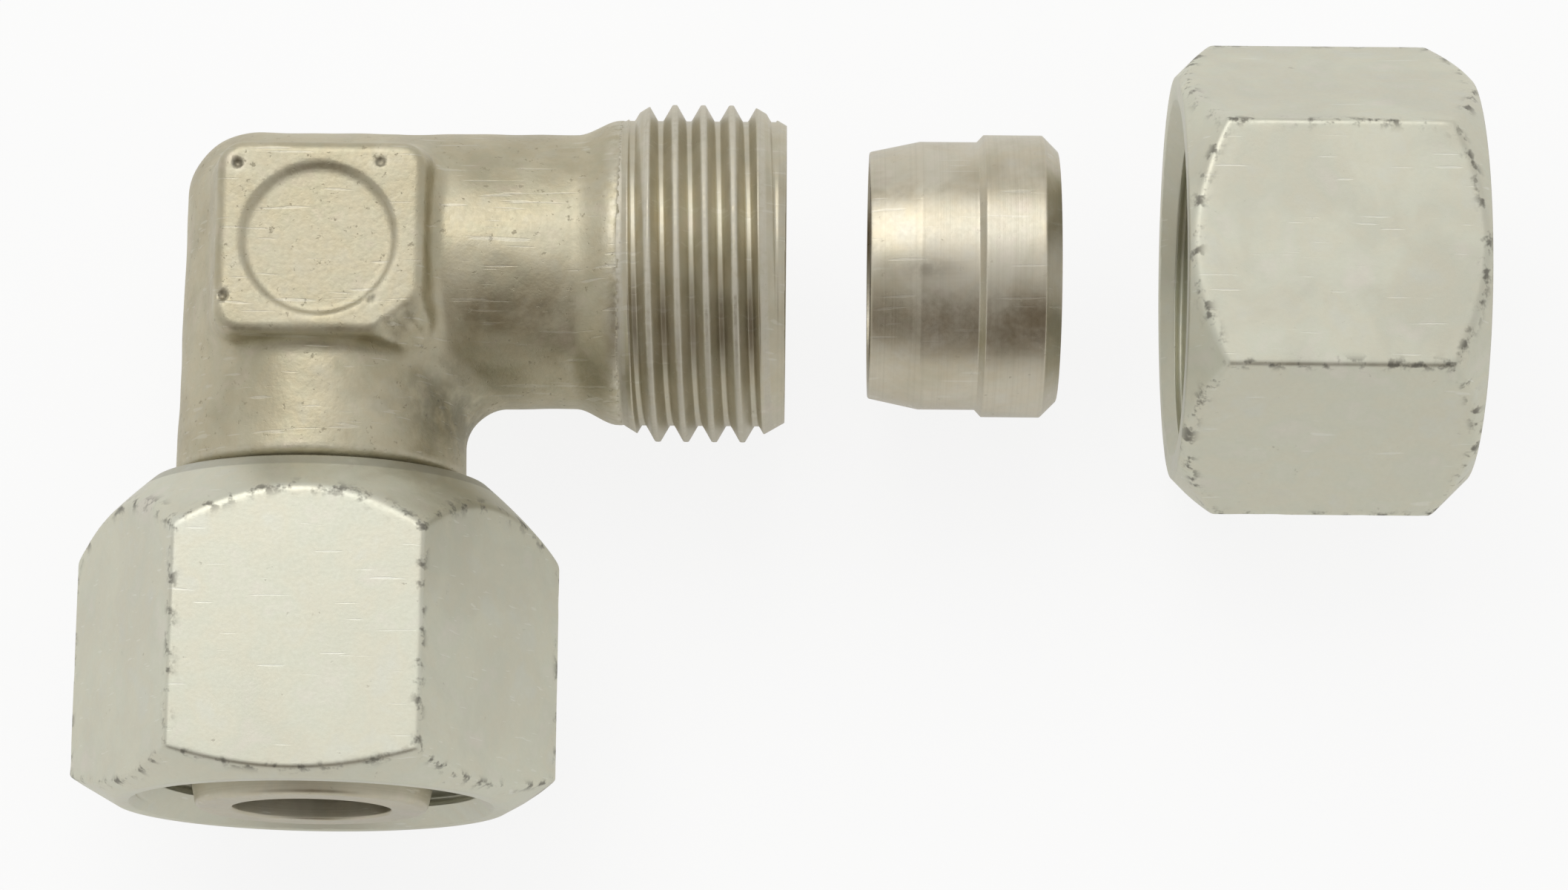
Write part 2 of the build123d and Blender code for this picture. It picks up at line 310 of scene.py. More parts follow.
def roundMin(a, b, radius):
    return -roundMax(-a, -b, radius)


def softMin(a, b, width):
    return np.minimum(a, b) - np.maximum(width - np.abs(a - b), 0) ** 2 / (4 * width)


def makeWobble(seed, waves, longest, shortest, falloff=0.7):       # smooth unevenness from a few plane waves
    rng = np.random.default_rng(seed)
    ways = rng.normal(size=(waves, 3))
    ways /= np.linalg.norm(ways, axis=1)[:, None]
    lengths = np.geomspace(longest, shortest, waves)
    starts = rng.uniform(0, 2 * math.pi, waves)
    heights = (lengths / longest) ** falloff

    def wobble(x, y, z):
        total = 0
        for way, length, start, height in zip(ways, lengths, starts, heights):
            total = total + height * np.sin(2 * math.pi / length * (way[0] * x + way[1] * y + way[2] * z) + start)
        return total / math.sqrt(waves)

    return wobble


# The forging: arm along X, leg down Y, and a spanner pad above and below
forging = {
    "armRadius": 7.3, "legRadius": 7.5, "legDraft": 0.7, "cornerRounding": 3.5,
    "crotchFillet": 2.3, "filletFrom": 1.0, "filletOver": 3.0, "leastFillet": 0.02,
    "flareFrom": 13.3, "flareTo": 15.6, "flareRise": 0.8, "armEnd": 15.8, "legEnd": 11.55, "legChamfer": 0.45,
    "armBore": 5.0, "armBoreEnd": 30.0, "legBore": 4.1, "legBoreEnd": 40.0, "drillPoint": 59.0,
    "padHeight": 8.5, "padHalf": (5.35, 5.05), "padCentre": (0.4, -0.3), "padDraft": 13.0,
    "padCorner": 1.3, "padEdge": 0.5, "padFoot": 0.7, "padLowest": 3.0, "padUneven": 0.4,
    "recessRadius": 4.05, "recessDepth": 0.3, "recessCentre": (0.3, -0.4), "recessSlope": (0.72, 0.6),
    "recessFoot": 0.12, "recessEdge": 0.1,
    "dimples": [(-3.97, 3.59, 0.28), (3.43, 3.7, 0.26), (-4.55, -3.45, 0.3), (3.1, -3.6, 0.22)],
    "dimpleRise": 0.1, "dimpleFlatness": 0.8, "dimpleEdge": 0.08,
    "unevenness": 0.05, "evenNearArmEnd": 0.6, "evenNearLegEnd": 0.5, "evenOver": 1.5,
    "gridLow": (-8.3, -12.2, -9.1), "gridHigh": (16.4, 8.1, 9.1), "gridStep": 0.2, "settling": 3,
}
crease = {                                             # forging fold that runs out of the pad's low right corner
    "at": (5.1, -5.2), "way": (0.62, 0.78), "depth": 0.07, "width": 0.4,
    "from": 4.8, "fadeIn": 0.8, "to": 9.0, "fadeOut": 1.5,
}
notch = {                                              # torn corner of the upper pad
    "at": (4.9, -4.55, 7.75), "way": (0.5, -0.62, 0.6), "tear": 0.09, "rounding": 0.15,
}
handMade = makeWobble(5, 14, 9.0, 1.6)
torn = makeWobble(11, 10, 2.4, 0.5)


def padField(x, y, z, side):
    height = forging["padHeight"]
    slope = math.tan(math.radians(forging["padDraft"]))
    down = height - z * side
    spread = np.clip(down, -1.0, height - forging["padLowest"]) * slope
    cx, cy = forging["padCentre"]
    corner = forging["padCorner"] + spread
    qx = np.abs(x - cx) - (forging["padHalf"][0] + spread - corner)
    qy = np.abs(y - cy) - (forging["padHalf"][1] + spread - corner)
    outline = np.hypot(np.maximum(qx, 0), np.maximum(qy, 0)) + np.minimum(np.maximum(qx, qy), 0) - corner
    walls = roundMax(outline * math.cos(math.radians(forging["padDraft"])), -down, forging["padEdge"])
    return np.maximum(walls, forging["padLowest"] - z * side)


def boreField(along, across, radius, end):
    point = radius / math.tan(math.radians(forging["drillPoint"]))
    tip = (across - (along + point) / point * radius) * math.sin(math.radians(forging["drillPoint"]))
    return np.maximum(np.maximum(across - radius, tip), along - end)


def bendField(x, y, z):                                # arm and leg, rounded at the corner and in the crotch
    flare = np.clip((x - forging["flareFrom"]) / (forging["flareTo"] - forging["flareFrom"]), 0, 1)
    armRadius = forging["armRadius"] + forging["flareRise"] * flare * flare * (3 - 2 * flare)
    legRadius = forging["legRadius"] + np.maximum(-y, 0) * math.tan(math.radians(forging["legDraft"]))
    arm = np.hypot(y, z) - armRadius
    leg = np.hypot(x, z) - legRadius
    armPart = roundMax(arm, np.minimum(-x, leg), forging["cornerRounding"])
    legPart = roundMax(leg, np.minimum(y, arm), forging["cornerRounding"])
    start, over = forging["filletFrom"], forging["filletOver"]
    fillet = forging["crotchFillet"] * np.clip(1 - (z / forging["armRadius"]) ** 2, 0, 1)
    fillet = fillet * np.clip((x - start) / over, 0, 1) * np.clip((-y - start) / over, 0, 1)
    return roundMin(armPart, legPart, np.maximum(fillet, forging["leastFillet"]))


def creaseDepth(x, y, z):
    (ax, ay), (wx, wy) = crease["at"], crease["way"]
    off = np.abs((x - ax) * wx + (y - ay) * wy)
    start = np.clip((x - crease["from"]) / crease["fadeIn"], 0, 1)
    end = np.clip((crease["to"] - x) / crease["fadeOut"], 0, 1)
    return crease["depth"] * np.exp(-(off / crease["width"]) ** 2) * (start * end * (z > 0))


def notchField(x, y, z):
    (ax, ay, az), (wx, wy, wz) = notch["at"], notch["way"]
    return -((x - ax) * wx + (y - ay) * wy + (z - az) * wz) - notch["tear"] * torn(x, y, z)


def recessField(x, y, z):
    rx, ry = forging["recessCentre"]
    outward, upward = forging["recessSlope"]
    rim = (np.hypot(x - rx, y - ry) - forging["recessRadius"]) * outward + (forging["padHeight"] - z) * upward
    return roundMax(rim, forging["padHeight"] - forging["recessDepth"] - z, forging["recessFoot"])


def forgingField(x, y, z):
    uneven = forging["unevenness"] * handMade(x, y, z)
    over = forging["evenOver"]
    faded = np.clip((forging["armEnd"] - forging["evenNearArmEnd"] - x) / over, 0, 1)
    faded = faded * np.clip((y + forging["legEnd"] - forging["evenNearLegEnd"]) / over, 0, 1)
    body = bendField(x, y, z) + uneven * faded + creaseDepth(x, y, z)
    upper = padField(x, y, z, 1) + forging["padUneven"] * uneven
    upper = roundMax(upper, -notchField(x, y, z), notch["rounding"])
    lower = padField(x, y, z, -1) + forging["padUneven"] * uneven
    body = roundMin(body, upper, forging["padFoot"])
    body = roundMin(body, lower, forging["padFoot"])
    body = roundMax(body, -recessField(x, y, z), forging["recessEdge"])
    for dx, dy, size in forging["dimples"]:
        up = (z - forging["padHeight"] - forging["dimpleRise"]) * forging["dimpleFlatness"]
        pit = np.sqrt((x - dx) ** 2 + (y - dy) ** 2 + up ** 2) - size
        body = roundMax(body, -pit, forging["dimpleEdge"])
    body = np.maximum(body, x - forging["armEnd"])
    body = roundMax(body, -forging["legEnd"] - y, forging["legChamfer"])
    body = np.maximum(body, -boreField(x, np.hypot(y, z), forging["armBore"], forging["armBoreEnd"]))
    return np.maximum(body, -boreField(-y, np.hypot(x, z), forging["legBore"], forging["legBoreEnd"]))


def surfaceNet(field, low, high, step):                # closed quad mesh on the field's zero level
    counts = [int(math.ceil((h - l) / step)) + 1 for l, h in zip(low, high)]
    axes = [l + step * np.arange(n) for l, n in zip(low, counts)]
    x, y, z = np.meshgrid(*axes, indexing="ij")
    values = field(x, y, z)
    inside = values < 0
    shape = tuple(n - 1 for n in counts)
    total = np.zeros((*shape, 3))
    hits = np.zeros(shape)
    corners = [(a, b, c) for a in (0, 1) for b in (0, 1) for c in (0, 1)]

    def part(array, offset):
        return array[tuple(slice(o, o + n) for o, n in zip(offset, shape))]

    for first in corners:
        for axis in range(3):
            if first[axis]:
                continue
            second = tuple(o + (k == axis) for k, o in enumerate(first))
            a, b = part(values, first), part(values, second)
            crossed = part(inside, first) != part(inside, second)
            share = np.where(crossed, a / np.where(crossed, a - b, 1), 0)
            for k in range(3):
                total[..., k] += crossed * (first[k] + (share if k == axis else 0))
            hits += crossed
    used = hits > 0
    number = np.full(shape, -1)
    number[used] = np.arange(used.sum())
    cell = np.argwhere(used)
    points = np.array(low) + step * (cell + total[used] / hits[used][:, None])
    quads = []
    for axis in range(3):
        u, v = (axis + 1) % 3, (axis + 2) % 3
        ahead = np.roll(inside, -1, axis)
        change = inside != ahead
        sides = [slice(1, -1)] * 3
        sides[axis] = slice(0, -1)
        place = np.argwhere(change[tuple(sides)])
        place += [0 if k == axis else 1 for k in range(3)]
        around = []
        for du, dv in ((0, 0), (-1, 0), (-1, -1), (0, -1)):
            spot = place.copy()
            spot[:, u] += du
            spot[:, v] += dv
            around.append(number[tuple(spot.T)])
        faces = np.stack(around, axis=1)
        outwards = inside[tuple(place.T)]
        quads.append(np.where(outwards[:, None], faces, faces[:, ::-1]))
    return points, np.concatenate(quads)


def gradient(field, points, reach=0.02):
    parts = []
    for axis in range(3):
        ahead, behind = points.copy(), points.copy()
        ahead[:, axis] += reach
        behind[:, axis] -= reach
        parts.append((field(*ahead.T) - field(*behind.T)) / (2 * reach))
    return np.stack(parts, axis=1)


def settle(field, points, rounds, leastSlope=0.2, longestStep=0.1):    # moves points on to the zero level
    for _ in range(rounds):
        slope = gradient(field, points)
        size = np.maximum((slope ** 2).sum(axis=1), leastSlope)
        points = points - np.clip(field(*points.T) / size, -longestStep, longestStep)[:, None] * slope
    return points


def makeObject(name, points, faces, material):         # points in millimetres
    mesh = bpy.data.meshes.new(name)
    mesh.from_pydata((np.asarray(points) * mm).tolist(), [], np.asarray(faces).tolist())
    mesh.materials.append(material)
    mesh.validate()
    mesh.shade_smooth()
    made = bpy.data.objects.new(name, mesh)
    bpy.context.scene.collection.objects.link(made)
    return made


def mark(made, name, values):
    attribute = made.data.attributes.new(name, "FLOAT", "POINT")
    attribute.data.foreach_set("value", np.clip(values, 0, 1).astype(np.float32))


# How the forging's painted shade and bare ridges are found: room outside the skin, and metal under it; a painted shade
# patch also sits in the crotch
wear = {
    "reach": 0.7, "leastSlope": 0.2, "hollow": 1.3, "ridge": 1.2,
    "smudge": 0.9, "darkPatchAt": (6.8, -8.2), "darkPatchSpread": 4.5,
}


def makeForging():
    points, quads = surfaceNet(forgingField, forging["gridLow"], forging["gridHigh"], forging["gridStep"])
    points = settle(forgingField, points, forging["settling"])
    made = makeObject("elbowForging", points, quads, forgedZinc)
    slope = gradient(forgingField, points)
    normals = slope / np.maximum(np.linalg.norm(slope, axis=1), wear["leastSlope"])[:, None]
    reach = wear["reach"]
    room = forgingField(*(points + reach * normals).T) / reach
    depth = -forgingField(*(points - reach * normals).T) / reach
    # painted shade in hollows and creases, from the room outside the skin
    mark(made, "hollow", (1 - room) * wear["hollow"])
    mark(made, "ridge", (1 - depth) * wear["ridge"])
    # painted shade: a dark patch round the crotch between arm and leg, on both sides
    x, y, _ = points.T
    sx, sy = wear["darkPatchAt"]
    mark(made, "smudge", wear["smudge"] * np.exp(-((x - sx) ** 2 + (y - sy) ** 2) / wear["darkPatchSpread"]))
    return made


elbowForging = makeForging()
print("forging made,", len(elbowForging.data.polygons), "faces")


# Turned sections: corners are (along, radius, rounding)
def softened(corners, closed=False, arcSteps=5, support=0.08):
    mostOfSide, supportRoom = 0.45, 2.5
    points = []
    count = len(corners)
    for i, (along, radius, rounding) in enumerate(corners):
        here = np.array([along, radius])
        if rounding <= 0 or (not closed and i in (0, count - 1)):
            points.append(here)
            continue
        before = np.array(corners[i - 1][:2]) - here
        after = np.array(corners[(i + 1) % count][:2]) - here
        beforeLength, afterLength = np.linalg.norm(before), np.linalg.norm(after)
        before, after = before / beforeLength, after / afterLength
        half = math.acos(np.clip(before @ after, -1, 1)) / 2
        reach = min(rounding / math.tan(half), mostOfSide * beforeLength, mostOfSide * afterLength)
        size = reach * math.tan(half)
        middle = here + (before + after) / np.linalg.norm(before + after) * size / math.sin(half)
        start, end = here + before * reach, here + after * reach
        if beforeLength > supportRoom * reach + support:           # a close row keeps the flat beside the arc flat
            points.append(start + before * support)
        startAngle = math.atan2(*(start - middle)[::-1])
        endAngle = math.atan2(*(end - middle)[::-1])
        turn = (endAngle - startAngle + math.pi) % (2 * math.pi) - math.pi
        for step in range(arcSteps + 1):
            angle = startAngle + turn * step / arcSteps
            points.append(middle + size * np.array([math.cos(angle), math.sin(angle)]))
        if afterLength > supportRoom * reach + support:
            points.append(end + after * support)
    return np.array(points)


def columnAngles(columns, turn=0.0, gather=0.0):       # gather packs the columns near the six corners of a hexagon
    even = 2 * math.pi * np.arange(columns) / columns
    return even + turn - gather * np.sin(6 * even) / 6


def turnedMesh(section, angles, closed=True, shape=None):
    rows, columns = len(section), len(angles)
    along = np.repeat(section[:, 0], columns).reshape(rows, columns)
    radius = np.repeat(section[:, 1], columns).reshape(rows, columns)
    theta = np.tile(angles, (rows, 1))
    if shape:
        radius = shape(along, radius, theta)
    points = np.stack([along, radius * np.cos(theta), radius * np.sin(theta)], axis=-1).reshape(-1, 3)
    i, j = np.meshgrid(np.arange(rows if closed else rows - 1), np.arange(columns), indexing="ij")
    a, b = i * columns + j, (i + 1) % rows * columns + j
    c, d = (i + 1) % rows * columns + (j + 1) % columns, i * columns + (j + 1) % columns
    quads = np.stack([a, b, c, d], axis=-1).reshape(-1, 4)
    ahead = np.roll(section, -1, axis=0)
    area = (section[:, 0] * ahead[:, 1] - ahead[:, 0] * section[:, 1]).sum()
    return points, quads if area > 0 else quads[:, ::-1]           # faces look outwards whichever way it was drawn


# Geometry Nodes: one screw thread whose rows follow the helix, welded to the skin it is given
threadLengths = (
    "Start", "End", "Pitch", "Phase", "Sharp Radius", "Crest Radius", "Root Radius", "Rounding",
    "Start Radius", "Start Hold", "End Radius", "End Hold",
)
threadRatios = ("Start Slope", "End Slope", "Side", "Corner Turn", "Corner Gather")
threadCounts = ("Rows Each Pitch", "Pitches", "Columns")
threadForm = {"flankSlope": math.sqrt(3), "crestFrom": 0.75, "wholeTurns": 100, "weld": 0.002}


def threadTree():
    tree = bpy.data.node_groups.new("screwThread", "GeometryNodeTree")

    def addSocket(name, kind, way="INPUT"):
        tree.interface.new_socket(name=name, in_out=way, socket_type="NodeSocket" + kind)

    addSocket("Geometry", "Geometry")
    for name in threadLengths + threadRatios:
        addSocket(name, "Float")
    for name in threadCounts:
        addSocket(name, "Int")
    addSocket("Material", "Material")
    addSocket("Geometry", "Geometry", "OUTPUT")

    g = Graph(tree)
    given = g.node("NodeGroupInput")
    rowsEach, columns, side, pitch = (given[n] for n in ("Rows Each Pitch", "Columns", "Side", "Pitch"))
    start, end, root, crest = (given[n] for n in ("Start", "End", "Root Radius", "Crest Radius"))
    rows = rowsEach * (given["Pitches"] + 1)
    sizes = {"Size X": rows, "Size Y": columns, "Vertices X": rows + 1, "Vertices Y": columns + 1}
    grid = g.node("GeometryNodeMeshGrid", {}, sizes)["Mesh"]
    spot = g.node("ShaderNodeSeparateXYZ", {}, {0: g.node("GeometryNodeInputPosition")["Position"]})
    row = spot["X"] + rows / 2
    turn = (spot["Y"] + columns / 2) / columns * (2 * math.pi)
    turn = turn - given["Corner Gather"] * g.calc("SINE", 6 * turn) / 6
    angle = turn + given["Corner Turn"]
    helix = pitch * (row / rowsEach - 1 + turn / (2 * math.pi))
    along = g.calc("MINIMUM", g.calc("MAXIMUM", start + helix, start), end)

    wave = (along - given["Phase"]) / pitch - angle / (2 * math.pi) + (threadForm["wholeTurns"] + 0.5)
    fromCrest = g.calc("ABSOLUTE", g.calc("FRACT", wave) - 0.5) * pitch
    flank = given["Sharp Radius"] - fromCrest * threadForm["flankSlope"]
    flank = g.calc("SMOOTH_MIN", flank, crest, given["Rounding"])
    flank = g.calc("SMOOTH_MAX", flank, root, given["Rounding"])
    lead = g.calc("MAXIMUM", along - start - given["Start Hold"], 0.0) * given["Start Slope"]
    tail = g.calc("MAXIMUM", end - along - given["End Hold"], 0.0) * given["End Slope"]
    limit = g.calc("MINIMUM", side * (given["Start Radius"] + lead), side * (given["End Radius"] + tail))
    radius = side * g.calc("MINIMUM", side * flank, limit)
    place = {"X": along, "Y": radius * g.calc("COSINE", angle), "Z": radius * g.calc("SINE", angle)}
    place = g.node("ShaderNodeCombineXYZ", {}, place)["Vector"]

    height = ((flank - root) / (crest - root)).between(threadForm["crestFrom"], 1.0)
    asPoints = {"data_type": "FLOAT", "domain": "POINT"}
    kept = {"Geometry": grid, "Name": "crest", "Value": height}
    skin = g.node("GeometryNodeStoreNamedAttribute", asPoints, kept)["Geometry"]
    skin = g.node("GeometryNodeSetPosition", {}, {"Geometry": skin, "Position": place})["Geometry"]
    isMore = {"data_type": "FLOAT", "operation": "GREATER_THAN"}
    outside = g.node("FunctionNodeCompare", isMore, {0: side, 1: 0.0})["Result"]
    skin = g.node("GeometryNodeFlipFaces", {}, {"Mesh": skin, "Selection": outside})["Mesh"]
    join = g.node("GeometryNodeJoinGeometry", {}, {"Geometry": skin})
    tree.links.new(given["Geometry"].socket, join["node"].inputs["Geometry"])
    weld = {"Geometry": join["Geometry"], "Distance": threadForm["weld"] * mm}
    whole = g.node("GeometryNodeMergeByDistance", {}, weld)["Geometry"]
    whole = g.node("GeometryNodeRealizeInstances", {}, {"Geometry": whole})["Geometry"]
    dressed = {"Geometry": whole, "Material": given["Material"]}
    g.node("NodeGroupOutput", {}, {"Geometry": g.node("GeometryNodeSetMaterial", {}, dressed)["Geometry"]})
    return tree


screwThread = threadTree()


def cutThread(made, material, sizes):
    modifier = made.modifiers.new("thread", "NODES")
    modifier.node_group = screwThread
    for item in screwThread.interface.items_tree:
        if item.in_out != "INPUT" or item.name == "Geometry":
            continue
        if item.name == "Material":
            modifier[item.identifier] = material
        else:
            modifier[item.identifier] = sizes[item.name] * (mm if item.name in threadLengths else 1)
    bpy.context.view_layer.update()
    shaped = made.evaluated_get(bpy.context.evaluated_depsgraph_get())
    mesh = bpy.data.meshes.new_from_object(shaped)
    made.modifiers.clear()
    old = made.data
    made.data = mesh
    bpy.data.meshes.remove(old)
    mesh.name = made.name
    mesh.shade_smooth()
    return made


thread = {
    "pitch": 1.5, "rounding": 0.05, "armSharp": 9.16, "armCrest": 8.96, "armRoot": 8.1, "armCrestAt": 18.38,
    "nutSharp": 9.26, "nutCrest": 9.1, "nutRoot": 8.3, "nutHold": 0.9,
    "rowsEach": 24, "pitches": 6, "columns": 240,
}
threadShared = {
    "Pitch": thread["pitch"], "Rounding": thread["rounding"], "Rows Each Pitch": thread["rowsEach"],
    "Pitches": thread["pitches"], "Columns": thread["columns"],
}

# Threaded port at the arm's end
port = {
    "start": 15.5, "startRadius": 8.08, "startHold": 0.35, "startSlope": 0.62,
    "end": 24.4, "endRadius": 7.9, "leadAngle": 30.0,
    "mouth": 7.15, "coneAngle": 12.0, "seat": 6.05, "stop": 17.4, "bore": 5.02,
}


def makePort():
    slope = math.tan(math.radians(port["coneAngle"]))
    seatAt = port["end"] - (port["mouth"] - port["seat"]) / slope
    corners = [
        (port["end"], port["endRadius"], 0),
        (port["end"], port["mouth"], 0.08),
        (seatAt, port["seat"], 0.1),
        (port["stop"], port["seat"], 0.12),
        (port["stop"], port["bore"], 0.08),
        (port["start"], port["bore"], 0),
        (port["start"], port["startRadius"], 0),
    ]
    points, quads = turnedMesh(softened(corners), columnAngles(thread["columns"]), closed=False)
    made = makeObject("portThread", points, quads, turnedZinc)
    sizes = {
        **threadShared, "Side": 1.0, "Start": port["start"], "End": port["end"], "Phase": thread["armCrestAt"],
        "Sharp Radius": thread["armSharp"], "Crest Radius": thread["armCrest"], "Root Radius": thread["armRoot"],
        "Start Radius": port["startRadius"], "Start Hold": port["startHold"], "Start Slope": port["startSlope"],
        "End Radius": port["endRadius"], "End Hold": 0.0, "End Slope": math.tan(math.radians(port["leadAngle"])),
        "Corner Turn": 0.0, "Corner Gather": 0.0,
    }
    return cutThread(made, turnedZinc, sizes)


portThread = makePort()
print("port thread made,", len(portThread.data.polygons), "faces")

# Neck, collar, seal groove and 24 degree cone at the leg's end; lengths run down the leg
sealing = {
    "from": 11.2, "tip": 28.9, "tipRadius": 6.0, "tipRounding": 0.35, "collar": 7.4, "neck": 6.35, "bore": 4.12,
    "grooveFloor": 5.2, "grooveMiddle": 26.2, "grooveWidth": 2.0, "collarBack": 18.157, "coneAngle": 12.0,
    "columns": 160,
}


def makeSealingCone():
    slope = math.tan(math.radians(sealing["coneAngle"]))
    coneAt = sealing["tip"] - (sealing["collar"] - sealing["tipRadius"]) / slope
    low = sealing["grooveMiddle"] - sealing["grooveWidth"] / 2
    high = sealing["grooveMiddle"] + sealing["grooveWidth"] / 2
    back = sealing["collarBack"]

    def coneRadius(at):
        return sealing["tipRadius"] + (sealing["tip"] - at) * slope

    corners = [
        (sealing["from"], sealing["bore"], 0),
        (sealing["from"], sealing["neck"], 0),
        (back - (sealing["collar"] - sealing["neck"]), sealing["neck"], 0.3),
        (back, sealing["collar"], 0.15),
        (coneAt, sealing["collar"], 0.3),
        (low, coneRadius(low), 0.1),
        (low, sealing["grooveFloor"], 0.15),
        (high, sealing["grooveFloor"], 0.15),
        (high, coneRadius(high), 0.1),
        (sealing["tip"], sealing["tipRadius"], sealing["tipRounding"]),
        (sealing["tip"], sealing["bore"], 0.15),
    ]
    points, quads = turnedMesh(softened(corners, closed=True), columnAngles(sealing["columns"]))
    points = np.stack([points[:, 1], -points[:, 0], points[:, 2]], axis=1)
    return makeObject("sealingCone", points, quads, coneZinc)


sealingCone = makeSealingCone()

# Hexagon nuts are made along X from their threaded face, then put in place
hexagon = {
    "flat": 11.0, "cornerRounding": 0.35, "cornerRadius": 12.7, "edgeSoftness": 0.22, "gather": 0.82,
    "fineRow": 0.085, "coarseRow": 0.5, "faceStep": 0.12,
    "wearAcross": 0.35, "wearRound": 0.3, "dentFrom": 0.35, "dentDepth": 0.05,
}
dented = makeWobble(23, 16, 5.0, 0.7)


def hexRadius(theta, turn):                            # the outline's radius, and the angle off the nearest corner
    flat, rounding = hexagon["flat"], hexagon["cornerRounding"]
    sixth = math.pi / 3
    off = np.abs((theta - turn + sixth / 2) % sixth - sixth / 2)
    centre = (flat - rounding) / math.cos(sixth / 2)
    onFlat = flat / np.cos(sixth / 2 - off)
    onArc = centre * np.cos(off) + np.sqrt(np.maximum(rounding ** 2 - (centre * np.sin(off)) ** 2, 0))
    limit = math.atan2(rounding / 2, centre + rounding * math.cos(sixth / 2))
    return np.where(off < limit, onArc, onFlat), off


def nutRows(outline, length, fineZones):               # rows along the outside, packed where the chamfers are
    tiny = 1e-6
    stops = [0.0]
    while stops[-1] < length - tiny:
        at = stops[-1]
        inFine = any(low - tiny <= at < high for low, high in fineZones)
        stops.append(min(at + hexagon["fineRow" if inFine else "coarseRow"], length))
    return [(at, float(outline(at))) for at in stops]


def makeNut(name, sizes, outline, inner, threadPhase):
    faceStart, turn = sizes["faceStart"], math.radians(sizes["turn"])
    rows = nutRows(outline, sizes["length"], sizes["fineZones"])
    faceEdge = (0.0, rows[0][1] - hexagon["faceStep"])
    skin = np.array([*inner(), *rows[::-1], faceEdge, (0.0, faceStart)])
    angles = columnAngles(thread["columns"], turn, hexagon["gather"])
    worn = {}

    def clipped(along, radius, theta):                 # the turned outline cut by the hexagon, with worn edges
        corner, off = hexRadius(theta, turn)
        across = np.exp(-((radius - corner) / hexagon["wearAcross"]) ** 2)
        around = np.exp(-(off * hexagon["cornerRadius"] / hexagon["wearRound"]) ** 2) * (radius > corner)
        near = across + around
        new = softMin(radius, corner, hexagon["edgeSoftness"])
        outside = radius > faceStart + 0.2
        bruises = dented(along + sizes["dentShift"], new * np.cos(theta), new * np.sin(theta))
        dents = np.maximum(bruises - hexagon["dentFrom"], 0)
        worn["edge"] = np.where(outside, near, 0)
        return new - np.where(outside, hexagon["dentDepth"] * dents * np.clip(near, 0, 1), 0)

    points, quads = turnedMesh(skin, angles, closed=False, shape=clipped)
    made = makeObject(name, points, quads, nutZinc)
    mark(made, "edge", worn["edge"].ravel())
    # painted shade over the bore and thread inside the nut
    radius = np.hypot(points[:, 1], points[:, 2])
    mark(made, "inside", (radius < faceStart + 0.05) & (points[:, 0] > 0.2))
    threadSizes = {
        **threadShared, "Side": -1.0, "Start": 0.0, "End": sizes["threadDepth"], "Phase": threadPhase,
        "Sharp Radius": thread["nutSharp"], "Crest Radius": thread["nutCrest"], "Root Radius": thread["nutRoot"],
        "Start Radius": faceStart, "Start Hold": 0.0, "Start Slope": -1.0,
        "End Radius": thread["nutCrest"], "End Hold": thread["nutHold"], "End Slope": -1.0,
        "Corner Turn": turn, "Corner Gather": hexagon["gather"],
    }
    return cutThread(made, nutZinc, threadSizes)


# Captive nut on the leg: its face looks down -Y and its domed end is rolled in over the neck
swivel = {
    "length": 16.8, "face": -28.7, "faceRadius": 10.2, "faceStart": 9.5, "faceAngle": 30.0, "threadDepth": 8.9,
    "lip": 6.6, "topRim": 8.9, "domeSlope": 1.154, "domeBend": 0.0521, "domeLength": 5.5, "beyondCorner": 13.6,
    "turn": 0.0, "threadPhase": 0.4, "dentShift": 0.0, "fineZones": [(0.0, 2.2), (11.8, 16.8)],
}


def swivelOutline(at):
    down = swivel["length"] - at
    dome = swivel["topRim"] + swivel["domeSlope"] * down - swivel["domeBend"] * down ** 2
    chamfer = swivel["faceRadius"] + at / math.tan(math.radians(swivel["faceAngle"]))
    return min(dome if down < swivel["domeLength"] else swivel["beyondCorner"], chamfer, swivel["beyondCorner"])


def swivelInside():
    depth, lip, length = swivel["threadDepth"], swivel["lip"], swivel["length"]
    corners = [
        (depth, thread["nutCrest"], 0),
        (depth + thread["nutCrest"] - lip, lip, 0.2),
        (length, lip, 0.3),
        (length, swivel["topRim"] - 0.05, 0),
    ]
    return softened(corners)


swivelNut = makeNut("swivelNut", swivel, swivelOutline, swivelInside, swivel["threadPhase"])
swivelNut.data.transform(Matrix.Translation((0, swivel["face"] * mm, 0)) @ Matrix.Rotation(math.pi / 2, 4, "Z"))

# Loose nut in line with the arm; its thread starts so that it follows the arm's once it is run in
union = {
    "length": 15.5, "front": 45.05, "faceRadius": 10.7, "faceStart": 9.5, "threadDepth": 8.4, "beyondCorner": 13.4,
    "ringBore": 7.75, "tubeHole": 6.25, "tubeHoleLength": 3.2, "holeChamfer": 0.4, "slideIn": 25.123,
    "turn": 4.0, "dentShift": 7.0, "fineZones": [(0.0, 2.4), (13.1, 15.5)],
}


def unionOutline(at):
    rim = union["faceRadius"]
    return min(rim + at, rim + union["length"] - at, union["beyondCorner"])


def unionInside():
    depth, ring, hole, length = (union[n] for n in ("threadDepth", "ringBore", "tubeHole", "length"))
    seatEnd = length - union["tubeHoleLength"]
    corners = [
        (depth, thread["nutCrest"], 0),
        (depth + thread["nutCrest"] - ring, ring, 0.15),
        (seatEnd - (ring - hole), ring, 0.15),
        (seatEnd, hole, 0.2),
        (length - union["holeChamfer"], hole, 0.1),
        (length, hole + union["holeChamfer"], 0.1),
        (length, union["faceRadius"] - 0.15, 0),
    ]
    return softened(corners)


